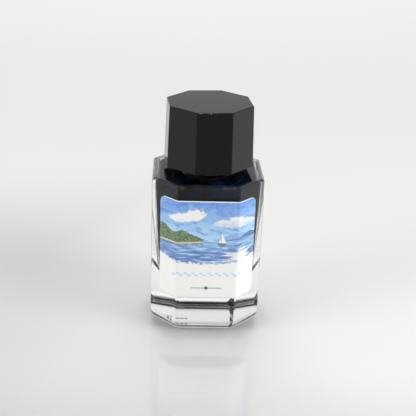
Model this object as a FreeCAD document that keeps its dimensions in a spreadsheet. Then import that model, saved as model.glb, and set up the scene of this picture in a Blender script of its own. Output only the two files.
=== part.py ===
"""Square ink bottle with an octagonal screw cap.

The origin is the centre of the bottle's foot, +Z is up and the label faces -Y.
All driving dimensions (mm, degrees) are in the Sizes sheet.
"""
import os

import FreeCAD
import Part
import Sketcher

SIZES = {
    # glass body
    "body_width": 33.0,
    "corner_cut": 7.65,
    "shoulder_height": 47.4,
    "upright_round": 0.8,
    "shoulder_round": 1.2,
    "foot_round": 4.2,
    # mould marks pressed into the foot
    "dot_sphere": 0.7,
    "dot_depth": 0.25,
    "dot_row_x": -10.4,
    "dot_row_y": -1.9,
    "dot_row_length": 5.0,
    # neck finish
    "neck_radius": 8.6,
    "neck_top": 58.2,
    "root_radius": 9.0,
    "root_height": 0.6,
    "rim_round": 0.5,
    "bore_radius": 6.3,
    "bore_overlap": 5.0,
    # inside of the glass
    "top_wall": 2.0,
    "wall_draft": 4.4,
    "floor_height": 12.2,
    "ceiling_drop": 1.3,
    "inner_upright_round": 3.0,
    "inner_floor_round": 7.5,
    "inner_ceiling_round": 1.0,
    # ink
    "ink_gap": 0.02,
    "ink_level": 47.0,
    # screw thread
    "pitch": 3.175,
    "thread_turns": 1.25,
    "neck_thread_start": 52.3,
    "neck_thread_depth": 0.85,
    "cap_thread_depth": 0.95,
    "thread_overlap": 0.25,
    "neck_ridge_foot": 0.85,
    "neck_ridge_crest": 0.45,
    "cap_ridge_foot": 0.6,
    "cap_ridge_crest": 0.3,
    # cap
    "cap_bottom": 49.7,
    "cap_height": 18.3,
    "cap_flats": 25.45,
    "cap_draft": 1.487,
    "cap_turned": 5.16,
    "cap_edge_round": 0.25,
    "cap_crown_round": 0.4,
    "shell_bore": 10.9,
    "shell_step": 60.7,
    "shell_upper_bore": 9.8,
    "shell_crown": 2.0,
    # threaded sleeve
    "sleeve_bottom": 50.0,
    "sleeve_radius": 10.85,
    "sleeve_bore": 9.95,
    # seal
    "film_thickness": 0.2,
    "wad_thickness": 1.0,
    "wad_radius": 9.75,
    # label
    "label_gap": 0.02,
    "label_thickness": 0.12,
    "label_bottom": 12.1,
    "label_height": 31.0,
    "label_wrap": 7.0,
    "label_corner": 2.0,
}

HALF_WIDTH = "(Sizes.body_width / 2)"
CEILING = "(Sizes.shoulder_height - Sizes.ceiling_drop)"
WAD_TOP = "(Sizes.neck_top + Sizes.film_thickness + Sizes.wad_thickness)"
DOT_COUNT = 5
# An inner wall parallel to the outline shortens the corner cut by this much per mm of wall.
CUT_LOSS = "(2 - sqrt(2))"


def make_sheet(doc):
    """The spreadsheet with one named cell for each driving dimension."""
    sheet = doc.addObject("Spreadsheet::Sheet", "Sizes")
    for row, (name, value) in enumerate(SIZES.items(), start=1):
        sheet.set(f"A{row}", name)
        sheet.set(f"B{row}", str(value))
        sheet.setAlias(f"B{row}", name)
    doc.recompute()
    return sheet


def outline(body, name, role, corners):
    """A closed straight-sided sketch whose corners are (x, y) expressions on a plane of the body."""
    sheet = body.Document.Sizes
    sketch = body.newObject("Sketcher::SketchObject", name)
    plane = next(item for item in body.Origin.OriginFeatures if item.Role == role)
    sketch.AttachmentSupport = [(plane, "")]
    sketch.MapMode = "FlatFace"
    values = [[float(sheet.evalExpression(text)) for text in corner] for corner in corners]
    points = [FreeCAD.Vector(x, y, 0) for x, y in values]
    count = len(points)
    for index in range(count):
        sketch.addGeometry(Part.LineSegment(points[index], points[(index + 1) % count]), False)
    for index in range(count):
        sketch.addConstraint(Sketcher.Constraint("Coincident", index, 2, (index + 1) % count, 1))
    for index in range(count):
        for axis, text, value in zip("XY", corners[index], values[index]):
            number = sketch.addConstraint(
                Sketcher.Constraint("Distance" + axis, -1, 1, index, 1, value)
            )
            sketch.renameConstraint(number, f"corner{index}{axis}")
            sketch.setExpression(f"Constraints.corner{index}{axis}", text)
    return sketch


def octagon(half, cut):
    """Corners of a square with its corners cut, from half its width and the cut's leg."""
    flat = f"({half} - {cut})"
    return [
        (f"-{flat}", f"-{half}"),
        (flat, f"-{half}"),
        (half, f"-{flat}"),
        (half, flat),
        (flat, half),
        (f"-{flat}", half),
        (f"-{half}", flat),
        (f"-{half}", f"-{flat}"),
    ]


def pad(body, name, sketch, length, start="0"):
    """A pad of a sketch along +Z, moved up to its start height."""
    sketch.setExpression("AttachmentOffset.Base.z", start)
    feature = body.newObject("PartDesign::Pad", name)
    feature.Profile = sketch
    feature.setExpression("Length", length)
    body.Document.recompute()
    return feature


def revolve(body, name, kind, corners):
    """A full turn of an (r, z) outline about the body's Z axis, added or cut by its kind."""
    sketch = outline(body, name + "Sketch", "XZ_Plane", corners)
    feature = body.newObject("PartDesign::" + kind, name)
    feature.Profile = sketch
    feature.ReferenceAxis = (sketch, ["V_Axis"])
    feature.Angle = 360
    body.Document.recompute()
    return feature


def upright_edges(shape, front=None):
    """Names of the edges that climb; only those in the plane y = -front if it is given."""
    names = []
    for number, edge in enumerate(shape.Edges, start=1):
        low, high = edge.Vertexes[0].Point, edge.Vertexes[-1].Point
        climbs = abs(high.z - low.z) > edge.Length / 2
        if climbs and (front is None or abs(low.y + front) < 0.001):
            names.append(f"Edge{number}")
    return names


def edges_at(shape, height):
    """Names of every edge that lies at one height."""
    names = []
    for number, edge in enumerate(shape.Edges, start=1):
        box = edge.BoundBox
        if abs(box.ZMin - height) < 0.001 and abs(box.ZMax - height) < 0.001:
            names.append(f"Edge{number}")
    return names


def fillet(body, name, edge_names, radius):
    """A fillet on the named edges of the body's last feature."""
    base = body.Tip
    feature = body.newObject("PartDesign::Fillet", name)
    feature.Base = (base, edge_names)
    feature.setExpression("Radius", radius)
    body.Document.recompute()
    return feature


def draft(body, name, angle, kept=min):
    """Lean every side face inwards, away from the kept face: the lowest (min) or highest (max).

    The lean follows the kept face's own normal, so it has to be reversed for a highest face.
    """
    base = body.Tip
    faces = list(enumerate(base.Shape.Faces, start=1))
    sides = [f"Face{number}" for number, face in faces if abs(face.normalAt(0, 0).z) < 0.001]
    neutral = kept(faces, key=lambda item: item[1].CenterOfMass.z)[0]
    feature = body.newObject("PartDesign::Draft", name)
    feature.Base = (base, sides)
    feature.NeutralPlane = (base, [f"Face{neutral}"])
    feature.Reversed = kept is max
    feature.setExpression("Angle", angle)
    body.Document.recompute()
    return feature


def thread(body, name, root, depth, foot, crest, start, outward):
    """A helical ridge about Z: a trapezoid, wide at its foot, swept at the sheet's pitch."""
    into, away = ("-", "+") if outward else ("+", "-")
    inner = f"({root} {into} Sizes.thread_overlap)"
    tip = f"({root} {away} {depth})"
    corners = [
        (inner, f"{start} - {foot}"),
        (tip, f"{start} - {crest}"),
        (tip, f"{start} + {crest}"),
        (inner, f"{start} + {foot}"),
    ]
    sketch = outline(body, name + "Sketch", "XZ_Plane", corners)
    ridge = body.newObject("PartDesign::AdditiveHelix", name)
    ridge.Profile = sketch
    ridge.ReferenceAxis = (sketch, ["V_Axis"])
    ridge.Mode = "pitch-turns-angle"
    ridge.setExpression("Pitch", "Sizes.pitch")
    ridge.setExpression("Turns", "Sizes.thread_turns")
    body.Document.recompute()
    return ridge


def mould_dots(body):
    """A row of shallow round dimples in the foot, the mould's number as a dot code."""
    dot = body.newObject("PartDesign::SubtractiveSphere", "Dot")
    dot.setExpression("Radius", "Sizes.dot_sphere")
    dot.setExpression("AttachmentOffset.Base.x", "Sizes.dot_row_x")
    dot.setExpression("AttachmentOffset.Base.y", "Sizes.dot_row_y")
    dot.setExpression("AttachmentOffset.Base.z", "Sizes.dot_depth - Sizes.dot_sphere")
    plane = next(item for item in body.Origin.OriginFeatures if item.Role == "XY_Plane")
    dot.AttachmentSupport = [(plane, "")]
    dot.MapMode = "FlatFace"
    body.Document.recompute()
    row = body.newObject("PartDesign::LinearPattern", "DotRow")
    row.Originals = [dot]
    axis = next(item for item in body.Origin.OriginFeatures if item.Role == "X_Axis")
    row.Direction = (axis, [""])
    row.setExpression("Length", "Sizes.dot_row_length")
    row.Occurrences = DOT_COUNT
    body.Tip = row
    body.Document.recompute()


def glass_outside(doc):
    """The outside of the glass: rounded octagonal block, neck and its thread."""
    body = doc.addObject("PartDesign::Body", "GlassOutside")
    corners = octagon(HALF_WIDTH, "Sizes.corner_cut")
    pad(body, "Block", outline(body, "BlockSketch", "XY_Plane", corners), "Sizes.shoulder_height")
    fillet(body, "Uprights", upright_edges(body.Shape), "Sizes.upright_round")
    top = SIZES["shoulder_height"]
    fillet(body, "Shoulder", edges_at(body.Shape, top), "Sizes.shoulder_round")
    fillet(body, "Foot", edges_at(body.Shape, 0), "Sizes.foot_round")
    mould_dots(body)
    revolve(body, "Neck", "Revolution", [
        ("0", CEILING),
        ("Sizes.root_radius", CEILING),
        ("Sizes.root_radius", "(Sizes.shoulder_height + Sizes.root_height / 2)"),
        ("Sizes.neck_radius", "(Sizes.shoulder_height + Sizes.root_height)"),
        ("Sizes.neck_radius", "Sizes.neck_top"),
        ("0", "Sizes.neck_top"),
    ])
    fillet(body, "Rim", edges_at(body.Shape, SIZES["neck_top"]), "Sizes.rim_round")
    thread(
        body, "NeckThread", "Sizes.neck_radius", "Sizes.neck_thread_depth",
        "Sizes.neck_ridge_foot", "Sizes.neck_ridge_crest", "Sizes.neck_thread_start", True,
    )
    return body


def cavity(doc, name, gap, top):
    """The hollow of the bottle, or its filling, held back from the glass by a gap."""
    body = doc.addObject("PartDesign::Body", name)
    inset = f"(Sizes.top_wall + {gap})"
    half = f"({HALF_WIDTH} - {inset})"
    cut = f"(Sizes.corner_cut - {inset} * {CUT_LOSS})"
    bottom = f"(Sizes.floor_height + {gap})"
    ceiling = f"({CEILING} - {gap})"
    block = outline(body, name + "BlockSketch", "XY_Plane", octagon(half, cut))
    pad(body, name + "Block", block, f"{ceiling} - {bottom}", bottom)
    draft(body, name + "Draft", "Sizes.wall_draft", max)
    fillet(body, name + "Uprights", upright_edges(body.Shape), "Sizes.inner_upright_round")
    sheet = doc.Sizes
    low = float(sheet.evalExpression(bottom))
    high = float(sheet.evalExpression(ceiling))
    fillet(body, name + "Floor", edges_at(body.Shape, low), "Sizes.inner_floor_round")
    fillet(body, name + "Ceiling", edges_at(body.Shape, high), "Sizes.inner_ceiling_round")
    revolve(body, name + "Bore", "Revolution", [
        ("0", f"({ceiling} - Sizes.bore_overlap)"),
        (f"(Sizes.bore_radius - {gap})", f"({ceiling} - Sizes.bore_overlap)"),
        (f"(Sizes.bore_radius - {gap})", top),
        ("0", top),
    ])
    return body


def glass_bottle(doc):
    """The glass moulding: its outside less its hollow, open at the rim."""
    bottle = doc.addObject("Part::Cut", "glass_bottle")
    bottle.Base = glass_outside(doc)
    bottle.Tool = cavity(doc, "Hollow", "0", "(Sizes.neck_top + 1)")
    doc.recompute()
    return bottle


def ink(doc):
    """The liquid that fills the hollow up to just inside the neck."""
    return cavity(doc, "ink", "Sizes.ink_gap", "Sizes.ink_level")


def turned(body):
    """Turn a cap piece about Z, as the cap sits when it is screwed home."""
    body.setExpression("Placement.Rotation.Angle", "Sizes.cap_turned")
    body.Placement = FreeCAD.Placement(
        FreeCAD.Vector(0, 0, 0), FreeCAD.Rotation(FreeCAD.Vector(0, 0, 1), SIZES["cap_turned"])
    )
    return body


def cap_shell(doc):
    """The tall octagonal shell, drafted inwards to its crown, with a stepped bore."""
    body = doc.addObject("PartDesign::Body", "cap_shell")
    half = "(Sizes.cap_flats / 2)"
    cut = "(Sizes.cap_flats * (1 - sqrt(0.5)))"
    sketch = outline(body, "ShellSketch", "XY_Plane", octagon(half, cut))
    pad(body, "ShellBlock", sketch, "Sizes.cap_height", "Sizes.cap_bottom")
    draft(body, "ShellDraft", "Sizes.cap_draft")
    fillet(body, "ShellEdges", upright_edges(body.Shape), "Sizes.cap_edge_round")
    crown = SIZES["cap_bottom"] + SIZES["cap_height"]
    fillet(body, "ShellCrown", edges_at(body.Shape, crown), "Sizes.cap_crown_round")
    ceiling = "(Sizes.cap_bottom + Sizes.cap_height - Sizes.shell_crown)"
    revolve(body, "ShellBore", "Groove", [
        ("0", "Sizes.cap_bottom - 1"),
        ("Sizes.shell_bore", "Sizes.cap_bottom - 1"),
        ("Sizes.shell_bore", "Sizes.shell_step"),
        ("Sizes.shell_upper_bore", "Sizes.shell_step"),
        ("Sizes.shell_upper_bore", ceiling),
        ("0", ceiling),
    ])
    return turned(body)


def cap_insert(doc):
    """The round threaded cup inside the shell, its roof resting against the shell's step."""
    body = doc.addObject("PartDesign::Body", "cap_insert")
    revolve(body, "Sleeve", "Revolution", [
        ("Sizes.sleeve_bore", "Sizes.sleeve_bottom"),
        ("Sizes.sleeve_radius", "Sizes.sleeve_bottom"),
        ("Sizes.sleeve_radius", "Sizes.shell_step"),
        ("0", "Sizes.shell_step"),
        ("0", WAD_TOP),
        ("Sizes.sleeve_bore", WAD_TOP),
    ])
    thread(
        body, "SleeveThread", "Sizes.sleeve_bore", "Sizes.cap_thread_depth",
        "Sizes.cap_ridge_foot", "Sizes.cap_ridge_crest",
        "(Sizes.neck_thread_start - Sizes.pitch / 2)", False,
    )
    return body


def disc(doc, name, bottom, thickness):
    """A flat round disc of the wad's radius."""
    part = doc.addObject("Part::Cylinder", name)
    part.setExpression("Radius", "Sizes.wad_radius")
    part.setExpression("Height", thickness)
    part.setExpression("Placement.Base.z", bottom)
    return part


def liner_facing(doc):
    """The thin film that meets the rim."""
    return disc(doc, "liner_facing", "Sizes.neck_top", "Sizes.film_thickness")


def cap_liner(doc):
    """The foam wad between the film and the roof of the threaded cup."""
    bottom = "Sizes.neck_top + Sizes.film_thickness"
    return disc(doc, "cap_liner", bottom, "Sizes.wad_thickness")


def front_label(doc):
    """The paper label on the front facet, folded back over the two front corner facets."""
    body = doc.addObject("PartDesign::Body", "front_label")
    near = f"({HALF_WIDTH} + Sizes.label_gap)"
    far = f"({HALF_WIDTH} + Sizes.label_gap + Sizes.label_thickness)"
    fold = f"({HALF_WIDTH} - Sizes.corner_cut)"
    bend = "(sqrt(2) - 1)"
    reach = "(Sizes.label_wrap * sqrt(0.5))"
    near_fold = f"({fold} + Sizes.label_gap * {bend})"
    far_fold = f"({fold} + (Sizes.label_gap + Sizes.label_thickness) * {bend})"
    end_lift = "(Sizes.label_thickness * sqrt(0.5))"
    near_end = (f"({near_fold} + {reach})", f"-({near} - {reach})")
    far_end = (f"({near_end[0]} + {end_lift})", f"(-({near} - {reach}) - {end_lift})")
    half_strip = [(near_fold, f"-{near}"), near_end, far_end, (far_fold, f"-{far}")]
    mirrored = [(f"-{x}", y) for x, y in reversed(half_strip)]
    strip = outline(body, "StripSketch", "XY_Plane", half_strip + mirrored)
    pad(body, "Strip", strip, "Sizes.label_height", "Sizes.label_bottom")
    inner_round = "(Sizes.upright_round + Sizes.label_gap)"
    outer_round = "(Sizes.upright_round + Sizes.label_gap + Sizes.label_thickness)"
    for name, front, radius in (("Inner", near, inner_round), ("Outer", far, outer_round)):
        depth = float(doc.Sizes.evalExpression(front))
        fillet(body, name + "Folds", upright_edges(body.Shape, depth), radius)
    fillet(body, "Corners", label_corner_edges(body.Shape), "Sizes.label_corner")
    return body


def label_corner_edges(shape):
    """Names of the short edges across the paper's thickness at its four corners."""
    names = []
    for number, edge in enumerate(shape.Edges, start=1):
        middle = edge.CenterOfMass
        side = abs(middle.x) > shape.BoundBox.XMax - 2 * SIZES["label_thickness"]
        if side and edge.Length < 2 * SIZES["label_thickness"]:
            names.append(f"Edge{number}")
    return names


def check(doc, parts):
    """Stop if any object failed or any piece is not one valid solid."""
    for item in doc.Objects:
        bad = {"Invalid", "Error"} & set(item.State)
        if bad:
            raise RuntimeError(f"{item.Name}: {item.State}")
    for part in parts:
        shape = part.Shape
        if shape.isNull() or not shape.isValid() or len(shape.Solids) != 1:
            raise RuntimeError(f"{part.Label}: not one valid solid")


def main():
    doc = FreeCAD.newDocument("InkBottle")
    make_sheet(doc)
    makers = [glass_bottle, ink, front_label, cap_shell, cap_insert, cap_liner, liner_facing]
    parts = [maker(doc) for maker in makers]
    doc.recompute()
    check(doc, parts)
    os.makedirs("parts", exist_ok=True)
    for part in parts:
        part.Shape.exportStep(f"parts/{part.Label}.step")
        box = part.Shape.BoundBox
        print(part.Label, round(part.Shape.Volume, 1), box)


main()
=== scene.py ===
"""The looks of the ink bottle: glass, ink, printed paper label and satin black screw cap."""

import math

import bpy
from mathutils import Matrix, Vector


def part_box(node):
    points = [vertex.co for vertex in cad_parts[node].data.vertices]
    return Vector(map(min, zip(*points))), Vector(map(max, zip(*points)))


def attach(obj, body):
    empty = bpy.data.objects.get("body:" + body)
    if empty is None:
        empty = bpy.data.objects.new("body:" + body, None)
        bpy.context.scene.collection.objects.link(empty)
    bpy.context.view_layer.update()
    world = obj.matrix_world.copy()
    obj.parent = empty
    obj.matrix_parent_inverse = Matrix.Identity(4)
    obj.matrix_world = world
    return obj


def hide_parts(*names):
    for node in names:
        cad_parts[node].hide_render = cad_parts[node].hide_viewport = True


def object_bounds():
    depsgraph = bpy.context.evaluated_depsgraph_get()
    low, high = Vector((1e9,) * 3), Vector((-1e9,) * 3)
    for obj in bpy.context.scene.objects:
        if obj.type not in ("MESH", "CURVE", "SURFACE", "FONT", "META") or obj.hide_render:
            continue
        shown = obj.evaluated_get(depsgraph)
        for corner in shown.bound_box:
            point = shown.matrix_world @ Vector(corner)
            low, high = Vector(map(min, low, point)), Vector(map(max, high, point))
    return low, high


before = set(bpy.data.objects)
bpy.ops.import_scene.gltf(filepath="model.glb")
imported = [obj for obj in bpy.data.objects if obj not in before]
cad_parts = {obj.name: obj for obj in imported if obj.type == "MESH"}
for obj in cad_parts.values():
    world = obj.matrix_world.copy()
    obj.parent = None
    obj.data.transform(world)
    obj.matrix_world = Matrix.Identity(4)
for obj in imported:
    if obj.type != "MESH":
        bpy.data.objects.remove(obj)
CAD_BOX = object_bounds()
MM = 0.001

# ---------------------------------------------------------------- camera and stage

CAMERA_AZIMUTH = math.radians(-2.57)
CAMERA_ELEVATION = math.radians(22.45)
CAMERA_ROLL = math.radians(2.07)
CAMERA_DISTANCE = 282.0 * MM
CAMERA_LENS = 79.8
CAMERA_SIDE_STEP = 0.51 * MM
CAMERA_AIM = 0.5037
FLOOR_SIZE = 4.0
FLOOR_DROP = 0.01 * MM
PALE_FLOOR = (0.80, 0.80, 0.79)
# painted shadow: the floor's colour on its left, near the bottle
SHADOW_PAINTED_FLOOR = (0.62, 0.62, 0.615)
# painted shade: the floor's colour in front of the bottle, dark in the glass's and the cap's
# reflections
SHADE_PAINTED_FLOOR = (0.36, 0.36, 0.36)
LIGHTS_AIM = (0.0, 0.0, 0.03)
SOFT_LIGHTS = (
    # name, place, size in metres, watts
    ("left", (-0.51, -0.25, 0.20), 0.3, 1.65),
    ("right", (0.51, -0.25, 0.20), 0.3, 2.3),
    ("backdrop", (0.0, 0.75, 0.80), 0.8, 6.0),
)
GLINT_PLACES = ((-0.02, -0.28, 0.55), (0.058, -0.28, 0.55))
GLINT_SIZE = 0.04
GLINT_POWER = 1.5

# ---------------------------------------------------------------- glass, ink and label

GLASS_INDEX = 1.52
INK_TO_GLASS = 1.34 / GLASS_INDEX
# height above which the ink is painted bluer: painted light, as if light shone through the ink
INK_BLUE_FROM = 42.5 * MM
INK_SWELL = 0.08 * MM
PAPER = (0.90, 0.90, 0.88)
LABEL_CORNER = 2.0 * MM
LABEL_GAP = 0.02 * MM
LABEL_STEP = 0.5 * MM
CORNER_CUT = 7.65 * MM
UPRIGHT_ROUND = 0.8 * MM

# The print on the label, in millimetres from its middle and from its lower edge.
LABEL_HORIZON = 19.2
LABEL_FADE = 11.2
RIPPLE_LEVEL = 7.8
RIPPLE_LENGTH = 2.3
RULE_LEVEL = 3.3
BOAT = (4.2, 17.6)
CLOUDS = (
    # middle, level, half width, half height
    (-6.4, 26.2, 3.6, 1.3),
    (-3.6, 27.0, 2.4, 1.7),
    (-9.0, 25.4, 3.4, 0.9),
    (5.2, 24.0, 4.4, 1.1),
    (8.4, 24.9, 2.8, 1.6),
    (12.6, 24.2, 3.4, 1.1),
)
FAR_HILLS = (
    # middle, height, colour
    (9.0, 2.3, (0.26, 0.42, 0.74)),
    (13.5, 1.6, (0.06, 0.15, 0.40)),
)


def make_camera():
    """A long lens looking down at the bottle, a little from its left."""
    _, high = CAD_BOX
    target = Vector((CAMERA_SIDE_STEP, 0.0, CAMERA_AIM * high[2]))
    back = Vector((
        math.sin(CAMERA_AZIMUTH) * math.cos(CAMERA_ELEVATION),
        -math.cos(CAMERA_AZIMUTH) * math.cos(CAMERA_ELEVATION),
        math.sin(CAMERA_ELEVATION),
    ))
    level = Vector((0, 0, 1)).cross(back).normalized()
    upright = back.cross(level)
    right = level * math.cos(CAMERA_ROLL) + upright * math.sin(CAMERA_ROLL)
    up = upright * math.cos(CAMERA_ROLL) - level * math.sin(CAMERA_ROLL)
    camera = bpy.data.objects.new("camera", bpy.data.cameras.new("camera"))
    camera.data.lens = CAMERA_LENS
    camera.data.clip_start = 0.01
    turn = Matrix((right, up, back)).transposed().to_4x4()
    camera.matrix_world = Matrix.Translation(target + back * CAMERA_DISTANCE) @ turn
    bpy.context.scene.collection.objects.link(camera)
    bpy.context.scene.camera = camera


# ---------------------------------------------------------------- node helpers


class Nodes:
    """Short calls that add nodes to one material or world and wire them up."""

    def __init__(self, owner, shader="Principled BSDF"):
        owner.use_nodes = True
        self.owner = owner
        self.tree = owner.node_tree
        self.shader = self.tree.nodes[shader]

    @classmethod
    def material(cls, name):
        return cls(bpy.data.materials.new(name))

    def link(self, value, socket):
        """Set a socket from a number, a colour or another node's output."""
        if isinstance(value, bpy.types.NodeSocket):
            self.tree.links.new(value, socket)
        else:
            socket.default_value = value

    def set(self, **inputs):
        """Set inputs of the main shader; an underscore stands for a space."""
        for name, value in inputs.items():
            self.link(value, self.shader.inputs[name.replace("_", " ")])

    def maths(self, operation, a, b=0.0, c=0.0, clamp=False):
        node = self.tree.nodes.new("ShaderNodeMath")
        node.operation = operation
        node.use_clamp = clamp
        for socket, value in zip(node.inputs, (a, b, c)):
            self.link(value, socket)
        return node.outputs[0]

    def add(self, a, b):
        return self.maths("ADD", a, b)

    def sub(self, a, b):
        return self.maths("SUBTRACT", a, b)

    def mul(self, a, b):
        return self.maths("MULTIPLY", a, b)

    def ramp(self, value, start, end, low=0.0, high=1.0):
        """A smooth step from low to high as the value goes from start to end."""
        node = self.tree.nodes.new("ShaderNodeMapRange")
        node.interpolation_type = "SMOOTHSTEP"
        for socket, number in zip(node.inputs[:5], (value, start, end, low, high)):
            self.link(number, socket)
        return node.outputs[0]

    def mix(self, share, a, b):
        """Colour a where share is 0 and colour b where it is 1."""
        node = self.tree.nodes.new("ShaderNodeMix")
        node.data_type = "RGBA"
        self.link(share, node.inputs[0])
        for socket, colour in ((node.inputs[6], a), (node.inputs[7], b)):
            self.link(colour if isinstance(colour, bpy.types.NodeSocket) else (*colour, 1), socket)
        return node.outputs[2]

    def place(self):
        """The point's place in the piece's own frame, in metres."""
        return self.tree.nodes.new("ShaderNodeTexCoord").outputs["Object"]

    def attribute(self, name):
        node = self.tree.nodes.new("ShaderNodeAttribute")
        node.attribute_name = name
        return node.outputs["Vector"]

    def split(self, vector):
        node = self.tree.nodes.new("ShaderNodeSeparateXYZ")
        self.link(vector, node.inputs[0])
        return node.outputs[0], node.outputs[1], node.outputs[2]

    def join(self, x, y, z=0.0):
        node = self.tree.nodes.new("ShaderNodeCombineXYZ")
        for socket, value in zip(node.inputs, (x, y, z)):
            self.link(value, socket)
        return node.outputs[0]

    def noise(self, vector, scale, detail=3.0, roughness=0.5, distortion=0.0):
        """Smooth noise, mostly between 0.3 and 0.7."""
        node = self.tree.nodes.new("ShaderNodeTexNoise")
        self.link(vector, node.inputs["Vector"])
        node.inputs["Scale"].default_value = scale
        node.inputs["Detail"].default_value = detail
        node.inputs["Roughness"].default_value = roughness
        node.inputs["Distortion"].default_value = distortion
        return node.outputs["Fac"]

    def bump(self, height, distance, strength=1.0):
        """Bend the shader's normal by a height map; distance is the height of a step of 1."""
        node = self.tree.nodes.new("ShaderNodeBump")
        node.inputs["Strength"].default_value = strength
        node.inputs["Distance"].default_value = distance
        self.link(height, node.inputs["Height"])
        self.link(node.outputs[0], self.shader.inputs["Normal"])


# ---------------------------------------------------------------- materials


def glass_material():
    """Clear soda-lime glass: faintly green through its thickness, faintly wavy from the mould."""
    n = Nodes.material("clear_glass")
    n.set(Base_Color=(0.995, 1.0, 0.997, 1), Roughness=0.0, IOR=GLASS_INDEX)
    n.set(Transmission_Weight=1.0)
    n.bump(n.noise(n.place(), 180.0, detail=1.0), 0.02 * MM, 0.25)
    absorb = n.tree.nodes.new("ShaderNodeVolumeAbsorption")
    absorb.inputs["Color"].default_value = (0.3, 0.57, 0.45, 1)
    absorb.inputs["Density"].default_value = 1.0
    n.link(absorb.outputs[0], n.tree.nodes["Material Output"].inputs["Volume"])
    return n.owner


def ink_material():
    """Opaque ink seen through glass: black head on, a mirror at a grazing angle.

    Water-based ink bends light less than glass does, so past about 62 degrees the wall of
    ink reflects everything. The Fresnel node gets the ratio of the two, which is below 1.
    """
    n = Nodes.material("ink_fill")
    _, _, height = n.split(n.place())
    swirl = n.noise(n.place(), 110.0, detail=2.0)
    # Painted light: bluer in swirls near the top, as if light shone through the ink there.
    painted_light_through = n.mul(n.ramp(height, INK_BLUE_FROM, INK_BLUE_FROM + 2 * MM), n.ramp(swirl, 0.4, 0.62))
    n.set(Base_Color=n.mix(painted_light_through, (0.0015, 0.0022, 0.0028), (0.003, 0.012, 0.035)))
    n.set(Roughness=0.5, Specular_IOR_Level=0.0)
    mirror = n.tree.nodes.new("ShaderNodeBsdfGlossy")
    mirror.inputs["Roughness"].default_value = 0.0
    mirror.inputs["Color"].default_value = (1, 1, 1, 1)
    fresnel = n.tree.nodes.new("ShaderNodeFresnel")
    fresnel.inputs["IOR"].default_value = INK_TO_GLASS
    blend = n.tree.nodes.new("ShaderNodeMixShader")
    n.link(fresnel.outputs[0], blend.inputs[0])
    n.link(n.shader.outputs[0], blend.inputs[1])
    n.link(mirror.outputs[0], blend.inputs[2])
    n.link(blend.outputs[0], n.tree.nodes["Material Output"].inputs["Surface"])
    return n.owner


def cap_material():
    """Satin black moulding: fine grain, and faint handling marks in the gloss."""
    n = Nodes.material("cap_black")
    grain = n.noise(n.place(), 9000.0, detail=2.0)
    marks = n.noise(n.place(), 350.0, detail=4.0, distortion=1.0)
    n.set(Base_Color=n.mix(marks, (0.003, 0.0032, 0.003), (0.005, 0.0052, 0.005)))
    n.set(Roughness=n.ramp(marks, 0.3, 0.7, 0.10, 0.14), IOR=1.4)
    n.bump(grain, 0.002 * MM, 0.3)
    return n.owner


def insert_material():
    """Plain black moulding inside the cap, duller than the shell."""
    n = Nodes.material("insert_black")
    grain = n.noise(n.place(), 5000.0, detail=3.0)
    n.set(Base_Color=n.mix(grain, (0.012, 0.012, 0.012), (0.03, 0.03, 0.03)), Roughness=0.55)
    n.bump(grain, 0.01 * MM, 0.5)
    return n.owner


def foam_material():
    """White closed-cell foam with fine cells."""
    n = Nodes.material("foam_white")
    cells = n.tree.nodes.new("ShaderNodeTexVoronoi")
    cells.inputs["Scale"].default_value = 6000.0
    n.link(n.place(), cells.inputs["Vector"])
    shade = cells.outputs["Distance"]
    n.set(Base_Color=n.mix(shade, (0.84, 0.84, 0.82), (0.66, 0.66, 0.63)), Roughness=0.9)
    n.bump(shade, 0.05 * MM, 0.8)
    return n.owner


def film_material():
    """Smooth white film with a faint ring where the rim has pressed it."""
    n = Nodes.material("film_white")
    x, y, _ = n.split(n.place())
    radius = n.maths("SQRT", n.add(n.mul(x, x), n.mul(y, y)))
    ring = n.maths("COMPARE", radius, 7.45 * MM, 0.9 * MM)
    n.set(Base_Color=n.mix(ring, (0.86, 0.86, 0.83), (0.74, 0.75, 0.74)), Roughness=0.3)
    n.bump(n.mul(ring, -1.0), 0.05 * MM, 0.6)
    return n.owner


def floor_material():
    """Pale glossy board with painted shade: a painted shadow makes it a little darker on the left,
    and painted shade makes it grey in front of the bottle.
    """
    n = Nodes.material("floor_pale")
    side, depth, _ = n.split(n.place())
    # Painted shadow: darker on the left near the bottle, pale again further back.
    bright = n.maths("MAXIMUM", n.ramp(side, -75 * MM, 5 * MM), n.ramp(depth, 10 * MM, 140 * MM))
    pale = n.mix(bright, SHADOW_PAINTED_FLOOR, PALE_FLOOR)
    # Painted shade: grey in front of the bottle, which the glass and the cap reflect.
    shade = n.mix(n.ramp(depth, -130 * MM, -30 * MM), SHADE_PAINTED_FLOOR, pale)
    n.set(Base_Color=shade, Roughness=0.02, IOR=1.6)
    return n.owner


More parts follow.
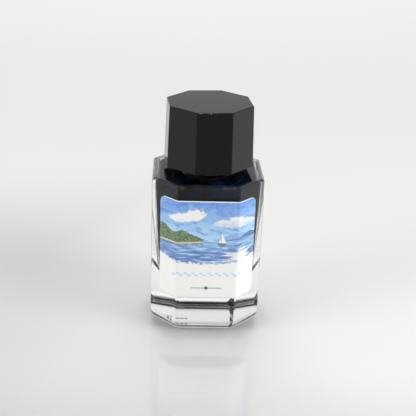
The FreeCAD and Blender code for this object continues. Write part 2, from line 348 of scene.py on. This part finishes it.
def label_material(height):
    """White label paper with a loose watercolour of a bay, fading out above two ornaments.

    The attribute paper_mm gives each point's place on the flat sheet: across from the
    middle and up from the lower edge, in millimetres.
    """
    n = Nodes.material("label_paper")
    across, up, _ = n.split(n.attribute("paper_mm"))
    sheet = n.join(across, up)
    wobble = n.mul(n.sub(n.noise(sheet, 0.9, detail=4.0), 0.5), 1.3)
    hand_up = n.add(up, wobble)
    streaks = n.noise(n.join(n.mul(across, 0.2), n.mul(up, 1.3)), 1.0, detail=5.0, distortion=0.6)
    blots = n.noise(sheet, 0.28, detail=5.0, roughness=0.6)
    grain = n.noise(sheet, 7.0, detail=3.0)

    picture = paint_sky(n, across, up, blots)
    picture = paint_clouds(n, picture, across, up)
    picture = paint_sea(n, picture, across, hand_up, streaks)
    picture = paint_far_hills(n, picture, across, up)
    picture = paint_headland(n, picture, across, up, blots)
    picture = paint_boat(n, picture, across, up)
    picture = n.mix(n.ramp(grain, 0.38, 0.72, 0.0, 0.28), picture, PAPER)

    fade = n.add(n.mul(n.mul(across, across), 0.008), LABEL_FADE)
    painted = n.ramp(n.sub(n.add(hand_up, n.mul(wobble, 1.4)), fade), -0.3, 0.5)
    bleed = n.ramp(up, height / MM - 0.35, height / MM - 0.15, 1.0, 0.0)
    painted = n.mul(painted, bleed)
    front = n.mix(painted, PAPER, picture)
    front = paint_ornaments(n, front, across, up)
    n.set(Base_Color=front, Roughness=n.ramp(grain, 0.3, 0.7, 0.42, 0.55), IOR=1.45)
    n.bump(n.add(n.mul(grain, 0.7), n.mul(painted, 0.3)), 0.004 * MM, 0.5)
    return n.owner


def paint_sky(n, across, up, blots):
    """Blue wash, stronger towards the top, laid on in strokes that lean to the right."""
    lean = n.join(n.add(n.mul(across, 0.35), n.mul(up, -0.2)), n.add(up, n.mul(across, 0.2)))
    strokes = n.noise(lean, 0.55, detail=5.0, roughness=0.6, distortion=0.8)
    depth = n.ramp(n.add(up, n.mul(strokes, 7.0)), LABEL_HORIZON + 3.0, LABEL_HORIZON + 15.0)
    sky = n.mix(depth, (0.40, 0.68, 0.92), (0.10, 0.30, 0.78))
    sky = n.mix(n.ramp(strokes, 0.50, 0.66, 0.0, 0.7), sky, (0.07, 0.19, 0.60))
    return n.mix(n.ramp(blots, 0.52, 0.72, 0.0, 0.6), sky, (0.34, 0.63, 0.93))


def blob(n, across, up, middle, level, width, height):
    """A soft oval patch, 1 at its middle and fading to 0."""
    x = n.mul(n.sub(across, middle), 1 / width)
    y = n.mul(n.sub(up, level), 1 / height)
    return n.maths("EXPONENT", n.mul(n.add(n.mul(x, x), n.mul(y, y)), -1.0))


def paint_clouds(n, picture, across, up):
    """Two heaps of white cloud left as bare paper, lilac underneath, with a loose pen line."""
    puffs = n.noise(n.join(across, n.mul(up, 1.3)), 0.6, detail=7.0, roughness=0.6, distortion=0.5)
    density = n.mul(n.sub(puffs, 0.5), 2.3)
    for middle, level, width, height in CLOUDS:
        density = n.add(density, blob(n, across, up, middle, level, width, height))
    shade = n.ramp(n.add(up, n.mul(puffs, 5.0)), LABEL_HORIZON + 5.6, LABEL_HORIZON + 9.4)
    cloud = n.mix(shade, (0.50, 0.62, 0.84), (0.90, 0.90, 0.88))
    picture = n.mix(n.ramp(density, 0.22, 0.50, 0.0, 0.45), picture, (0.62, 0.76, 0.92))
    picture = n.mix(n.ramp(density, 0.44, 0.58), picture, cloud)
    line = n.mul(n.maths("COMPARE", density, 0.47, 0.05), n.ramp(puffs, 0.46, 0.58, 0.0, 0.6))
    return n.mix(line, picture, (0.10, 0.13, 0.30))


def paint_sea(n, picture, across, up, streaks):
    """Level blue strokes below the horizon, with sun glitter in the lower right."""
    depth = n.ramp(up, LABEL_HORIZON + 0.5, LABEL_HORIZON - 6.0)
    sea = n.mix(depth, (0.22, 0.47, 0.76), (0.08, 0.21, 0.55))
    sea = n.mix(n.ramp(streaks, 0.50, 0.62, 0.0, 0.85), sea, (0.36, 0.63, 0.86))
    sea = n.mix(n.ramp(streaks, 0.46, 0.34, 0.0, 0.8), sea, (0.035, 0.10, 0.33))
    glitter = blob(n, across, up, 9.5, LABEL_HORIZON - 5.6, 5.0, 2.6)
    glitter = n.ramp(n.add(n.mul(streaks, 1.6), n.mul(glitter, 0.6)), 0.95, 1.25)
    sea = n.mix(glitter, sea, (0.82, 0.87, 0.86))
    below = n.ramp(up, LABEL_HORIZON + 0.12, LABEL_HORIZON - 0.12)
    return n.mix(below, picture, sea)


def hump(n, across, middle, width, height):
    """A rounded hill's height above its foot."""
    offset = n.mul(n.sub(across, middle), 1.0 / width)
    return n.mul(n.maths("EXPONENT", n.mul(n.mul(offset, offset), -1.0)), height)


def paint_far_hills(n, picture, across, up):
    """Two blue ranges beyond the water on the right, the farther one paler."""
    for middle, height, colour in FAR_HILLS:
        ridge = n.add(hump(n, across, middle, 4.2, height), n.mul(n.noise(across, 0.8), 0.5))
        inside = n.ramp(n.sub(n.add(ridge, LABEL_HORIZON - 0.2), up), 0.0, 0.25)
        inside = n.mul(inside, n.ramp(up, LABEL_HORIZON - 0.2, LABEL_HORIZON + 0.05))
        inside = n.mul(inside, n.ramp(across, middle - 7.5, middle - 5.5))
        picture = n.mix(inside, picture, colour)
    return picture


def paint_headland(n, picture, across, up, blots):
    """Two wooded green hills and a low point on the left, with a strand at their foot."""
    leaves = n.noise(n.join(across, up), 1.4, detail=5.0)
    ridge = n.add(hump(n, across, -14.5, 4.0, 3.9), hump(n, across, -7.4, 2.9, 2.9))
    ridge = n.add(ridge, hump(n, across, -3.4, 2.0, 0.9))
    gap = n.sub(n.add(n.add(ridge, LABEL_HORIZON - 0.7), n.mul(leaves, 0.9)), up)
    foot = n.add(n.mul(across, 0.05), LABEL_HORIZON - 0.9)
    above_foot = n.sub(up, foot)
    reach = n.ramp(across, -0.8, -1.6)
    land = n.mul(n.mul(n.ramp(gap, 0.1, 0.4), reach), n.ramp(above_foot, 0.0, 0.25))
    green = n.mix(n.ramp(leaves, 0.36, 0.60), (0.010, 0.032, 0.016), (0.16, 0.27, 0.08))
    green = n.mix(n.ramp(blots, 0.4, 0.65, 0.0, 0.5), green, (0.05, 0.13, 0.06))
    picture = n.mix(land, picture, green)
    line = n.mul(n.maths("COMPARE", gap, 0.2, 0.07), n.mul(reach, n.ramp(above_foot, 0.2, 0.5)))
    picture = n.mix(n.mul(line, 0.7), picture, (0.02, 0.03, 0.03))
    strand = n.maths("COMPARE", above_foot, -0.02, 0.26)
    picture = n.mix(n.mul(strand, reach), picture, (0.66, 0.56, 0.46))
    shadow = n.mul(n.ramp(above_foot, -1.5, -0.3), n.ramp(above_foot, -0.2, -0.35))
    shadow = n.mul(n.mul(shadow, reach), n.ramp(leaves, 0.35, 0.55, 0.2, 0.9))
    return n.mix(shadow, picture, (0.05, 0.09, 0.20))


def paint_boat(n, picture, across, up):
    """A small boat with a brown hull and a white sail, and its reflection."""
    x = n.sub(across, BOAT[0])
    y = n.sub(up, BOAT[1])
    middle = n.maths("ABSOLUTE", x)
    hull = n.mul(n.ramp(n.sub(middle, n.mul(y, 0.7)), 1.25, 1.10), n.maths("COMPARE", y, 0.0, 0.26))
    luff = n.mul(n.ramp(x, -0.16, -0.06), n.ramp(y, 0.40, 0.50))
    sail = n.mul(luff, n.ramp(n.add(n.mul(x, 2.3), y), 3.5, 3.35))
    jib = n.mul(n.ramp(x, -0.22, -0.32), n.ramp(y, 0.45, 0.55))
    jib = n.mul(jib, n.ramp(n.sub(y, n.mul(x, 2.1)), 2.6, 2.45))
    dark = n.mul(n.ramp(middle, 1.1, 0.7), n.maths("COMPARE", y, -0.55, 0.24))
    picture = n.mix(n.mul(dark, 0.7), picture, (0.05, 0.10, 0.26))
    picture = n.mix(hull, picture, (0.17, 0.09, 0.06))
    return n.mix(n.maths("MAXIMUM", sail, jib), picture, (0.92, 0.91, 0.87))


def paint_ornaments(n, front, across, up):
    """Two plain ornaments on the bare paper: a row of pale blue ripples and a small grey rule."""
    phase = n.mul(across, 2 * math.pi / RIPPLE_LENGTH)
    ripple = n.mul(n.maths("SINE", phase), 0.42)
    near = n.maths("ABSOLUTE", n.sub(n.sub(up, RIPPLE_LEVEL), ripple))
    gaps = n.maths("ABSOLUTE", n.maths("SINE", n.mul(phase, 0.5)))
    row = n.mul(n.ramp(near, 0.26, 0.14), n.ramp(gaps, 0.16, 0.3))
    row = n.mul(row, n.ramp(n.maths("ABSOLUTE", across), 10.5, 10.2))
    front = n.mix(row, front, (0.30, 0.70, 0.93))
    rule = n.ramp(n.maths("ABSOLUTE", n.sub(up, RULE_LEVEL)), 0.14, 0.06)
    rule = n.mul(rule, n.ramp(n.maths("ABSOLUTE", across), 4.6, 4.3))
    bead = n.add(n.maths("ABSOLUTE", across), n.maths("ABSOLUTE", n.sub(up, RULE_LEVEL)))
    mark = n.maths("MAXIMUM", rule, n.ramp(bead, 0.75, 0.6))
    return n.mix(mark, front, (0.10, 0.10, 0.12))


# ---------------------------------------------------------------- pieces


def paint(node, material):
    """Give a carried-over node one material in every slot."""
    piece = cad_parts[node]
    for slot in piece.material_slots:
        slot.material = material
    return piece


def wet_the_glass(piece):
    """Swell the ink until its skin lies just inside the glass, so that no film of air shows."""
    weld = piece.modifiers.new("weld", "WELD")
    weld.merge_threshold = 0.001 * MM
    swell = piece.modifiers.new("swell", "DISPLACE")
    swell.strength = INK_SWELL
    swell.mid_level = 0.0


class LabelPath:
    """The label's path round the bottle in plan: front facet, a bend, then a corner facet."""

    def __init__(self):
        low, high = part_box("front_label")
        glass_low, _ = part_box("glass_bottle")
        self.thickness = -low[1] + glass_low[1]
        self.glass_front = -glass_low[1]
        self.fold = self.glass_front - CORNER_CUT
        self.flat = self.fold - UPRIGHT_ROUND * math.tan(math.pi / 8)
        self.bend = UPRIGHT_ROUND * math.pi / 4
        turned_x = self.flat + UPRIGHT_ROUND * math.sin(math.pi / 4)
        self.slope = (high[0] - self.thickness * math.sin(math.pi / 4) - turned_x) * math.sqrt(2)
        self.half_length = self.flat + self.bend + self.slope

    def point(self, along, lift):
        """Plan position and outward direction at a distance along the path from the middle."""
        side = 1 if along >= 0 else -1
        rest = abs(along)
        if rest <= self.flat:
            x, y, angle = rest, -self.glass_front, 0.0
        else:
            angle = min((rest - self.flat) / UPRIGHT_ROUND, math.pi / 4)
            x = self.flat + UPRIGHT_ROUND * math.sin(angle)
            y = -self.glass_front + UPRIGHT_ROUND * (1 - math.cos(angle))
            past = max(rest - self.flat - self.bend, 0.0)
            x += past * math.cos(math.pi / 4)
            y += past * math.sin(math.pi / 4)
        return side * (x + lift * math.sin(angle)), y - lift * math.cos(angle)


def rounded(value, other, half, corner):
    """Pull a grid coordinate in near a rectangle's corner so that its outline becomes an arc."""
    inner = half[0] - corner, half[1] - corner
    a = (abs(value) - inner[0]) / corner
    b = (abs(other) - inner[1]) / corner
    if a <= 0 or b <= 0:
        return value
    return math.copysign(inner[0] + corner * a * math.sqrt(1 - b * b / 2), value)


def grid_steps(half, breaks, step):
    """Distances from -half to half that hit every break, no further apart than the step."""
    marks = sorted({-half, half, *breaks, *(-mark for mark in breaks)})
    values = []
    for start, end in zip(marks, marks[1:]):
        count = max(1, math.ceil((end - start) / step))
        values += [start + (end - start) * k / count for k in range(count)]
    return values + [half]


def make_label():
    """The paper label as one closed sheet with rounded corners, bent over the two edges."""
    path = LabelPath()
    low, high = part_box("front_label")
    half = path.half_length, (high[2] - low[2]) / 2
    bends = [path.flat + path.bend * k / 4 for k in range(5)]
    columns = grid_steps(half[0], [*bends, half[0] - LABEL_CORNER], LABEL_STEP)
    rows = grid_steps(half[1], [half[1] - LABEL_CORNER], LABEL_STEP)
    lifts = (LABEL_GAP, path.thickness)
    points, sheet = [], []
    for lift in lifts:
        for up in rows:
            for along in columns:
                a = rounded(along, up, half, LABEL_CORNER)
                b = rounded(up, along, (half[1], half[0]), LABEL_CORNER)
                x, y = path.point(a, lift)
                points.append((x, y, low[2] + half[1] + b))
                sheet.append((a / MM, (b + half[1]) / MM, 0.0))
    mesh = bpy.data.meshes.new("front_label_paper")
    mesh.from_pydata(points, [], sheet_faces(len(columns), len(rows)))
    places = mesh.attributes.new("paper_mm", "FLOAT_VECTOR", "POINT")
    for index, place in enumerate(sheet):
        places.data[index].vector = place
    mesh.shade_smooth()
    label = bpy.data.objects.new("label_paper", mesh)
    bpy.context.scene.collection.objects.link(label)
    mesh.materials.append(label_material(high[2] - low[2]))
    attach(label, "bottle")
    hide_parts("front_label")


def sheet_faces(across, up):
    """Faces of a back grid, a front grid and the strip that joins their borders."""
    layer = across * up
    faces = []
    for row in range(up - 1):
        for column in range(across - 1):
            a = row * across + column
            quad = (a, a + 1, a + 1 + across, a + across)
            faces.append(tuple(reversed(quad)))
            faces.append(tuple(layer + corner for corner in quad))
    border = list(range(across))
    border += [across * (row + 1) - 1 for row in range(1, up)]
    border += [layer - 1 - column for column in range(1, across)]
    border += [across * row for row in range(up - 2, 0, -1)]
    for a, b in zip(border, border[1:] + border[:1]):
        faces.append((a, b, layer + b, layer + a))
    return faces


# ---------------------------------------------------------------- light


def make_world():
    """A white studio: greyer overhead and at the front, with a grey band above the far floor."""
    n = Nodes(bpy.data.worlds.new("studio"), "Background")
    direction = n.tree.nodes.new("ShaderNodeTexCoord").outputs["Generated"]
    side, back, height = n.split(direction)
    middle = n.ramp(n.maths("ABSOLUTE", side), 0.35, 0.8, 1.0, 0.0)
    strength = n.ramp(back, -0.8, 0.15, 0.5, 1.0)
    band = n.sub(n.ramp(height, 0.05, 0.30, 0.0, 0.44), n.ramp(height, 0.40, 0.47, 0.0, 0.24))
    strength = n.mul(strength, n.sub(1.0, n.mul(middle, band)))
    strength = n.mul(strength, n.ramp(height, 0.5, 0.95, 1.0, 0.4))
    n.set(Color=(1.0, 1.0, 0.99, 1), Strength=strength)
    bpy.context.scene.world = n.owner


def area_light(name, place, size, power, glint=False):
    """A square light: it either lights matt surfaces or only glints in glossy ones."""
    data = bpy.data.lights.new(name, "AREA")
    data.size = size
    data.energy = power
    lamp = bpy.data.objects.new(name, data)
    lamp.location = place
    facing = Vector(LIGHTS_AIM) - Vector(place)
    lamp.rotation_euler = facing.to_track_quat("-Z", "Y").to_euler()
    lamp.visible_glossy = glint
    lamp.visible_diffuse = not glint
    lamp.visible_transmission = False
    bpy.context.scene.collection.objects.link(lamp)


def make_lights():
    """Soft boxes at both sides and the back, and two small lamps for the shoulder's corners."""
    for name, place, size, power in SOFT_LIGHTS:
        area_light(name, place, size, power)
    for place in GLINT_PLACES:
        area_light("glint", place, GLINT_SIZE, GLINT_POWER, glint=True)


def make_floor():
    """The board that the bottle stands on, a hair below its foot."""
    half = FLOOR_SIZE / 2
    mesh = bpy.data.meshes.new("floor")
    corners = [(-half, -half, 0), (half, -half, 0), (half, half, 0), (-half, half, 0)]
    mesh.from_pydata(corners, [], [(0, 1, 2, 3)])
    floor = bpy.data.objects.new("floor", mesh)
    floor.location.z = -FLOOR_DROP
    mesh.materials.append(floor_material())
    bpy.context.scene.collection.objects.link(floor)


def render_settings():
    """Enough bounces for light to cross the glass, and no film curve on the colours."""
    scene = bpy.context.scene
    scene.view_settings.view_transform = "Standard"
    scene.cycles.max_bounces = 24
    scene.cycles.transmission_bounces = 24
    scene.cycles.glossy_bounces = 12
    scene.cycles.use_denoising = True


make_camera()
make_world()
make_floor()
make_lights()
render_settings()
paint("glass_bottle", glass_material())
wet_the_glass(paint("ink", ink_material()))
paint("cap_shell", cap_material())
paint("cap_insert", insert_material())
paint("cap_liner", foam_material())
paint("liner_facing", film_material())
make_label()
